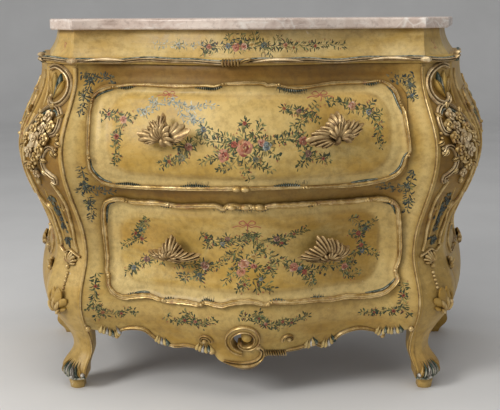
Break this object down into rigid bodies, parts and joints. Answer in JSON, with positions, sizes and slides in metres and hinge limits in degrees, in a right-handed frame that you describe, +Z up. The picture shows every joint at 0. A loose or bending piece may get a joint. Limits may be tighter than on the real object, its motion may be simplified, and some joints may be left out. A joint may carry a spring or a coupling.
{
  "type": "bombe chest",
  "caption": "Painted and gilded bombe chest with a serpentine swelling front, lipped drawers on wooden runners, canted corner posts, cabriole legs and a marble top.",
  "frame": {"origin": "on the floor, under the middle of the chest's overall width and depth", "axes": "+Z up, the drawers open towards -Y, +X to the right of someone facing the drawers"},
  "size_m": [1.31, 0.6276, 0.92],
  "materials": {
    "painted_wood": "worn ochre paint with floral sprays, waxed",
    "gilding": "worn water gilding over reddish bole on carved wood",
    "bare_wood": "raw softwood, darkened with age",
    "marble": "honed, pinkish grey with pale veins",
    "brass": "aged"
  },
  "bodies": {
    "case": {"back_board_lower": "bare_wood", "back_board_middle": "bare_wood", "back_board_upper": "bare_wood", "back_screws": "brass", "bottom_board": "bare_wood", "case_top_board": "bare_wood", "cornice_front": "gilding", "cornice_left": "gilding", "cornice_right": "gilding", "drawer_stops": "bare_wood", "dust_board": "bare_wood", "frieze_back": "bare_wood", "frieze_corner_left": "painted_wood", "frieze_corner_right": "painted_wood", "frieze_front": "painted_wood", "frieze_side_left": "painted_wood", "frieze_side_right": "painted_wood", "front_apron": "painted_wood", "front_post_left": "painted_wood", "front_post_right": "painted_wood", "glue_blocks": "bare_wood", "lower_guides": "bare_wood", "lower_kickers": "bare_wood", "lower_runner_left": "bare_wood", "lower_runner_right": "bare_wood", "marble_top": "marble", "middle_rail": "painted_wood", "rear_post_left": "painted_wood", "rear_post_right": "painted_wood", "side_apron_left": "painted_wood", "side_apron_right": "painted_wood", "side_panel_left": "painted_wood", "side_panel_right": "painted_wood", "stile_left": "painted_wood", "stile_right": "painted_wood", "sub_top": "bare_wood", "top_rail": "painted_wood", "upper_guides": "bare_wood", "upper_kickers": "bare_wood", "upper_runner_left": "bare_wood", "upper_runner_right": "bare_wood"},
    "upper_drawer": {"upper_drawer_back": "bare_wood", "upper_drawer_border": "gilding", "upper_drawer_bottom": "bare_wood", "upper_drawer_front": "painted_wood", "upper_drawer_handle_left": "gilding", "upper_drawer_handle_right": "gilding", "upper_drawer_side_left": "bare_wood", "upper_drawer_side_right": "bare_wood", "upper_handle_bolts": "brass"},
    "lower_drawer": {"lower_drawer_back": "bare_wood", "lower_drawer_border": "gilding", "lower_drawer_bottom": "bare_wood", "lower_drawer_front": "painted_wood", "lower_drawer_handle_left": "gilding", "lower_drawer_handle_right": "gilding", "lower_drawer_side_left": "bare_wood", "lower_drawer_side_right": "bare_wood", "lower_handle_bolts": "brass"}
  },
  "joints": [
    {"name": "upper_drawer_slide", "type": "slide", "parent": "case", "child": "upper_drawer", "axis": [0, -1, 0], "range_m": [0, 0.36]},
    {"name": "lower_drawer_slide", "type": "slide", "parent": "case", "child": "lower_drawer", "axis": [0, -1, 0], "range_m": [0, 0.34]}
  ]
}
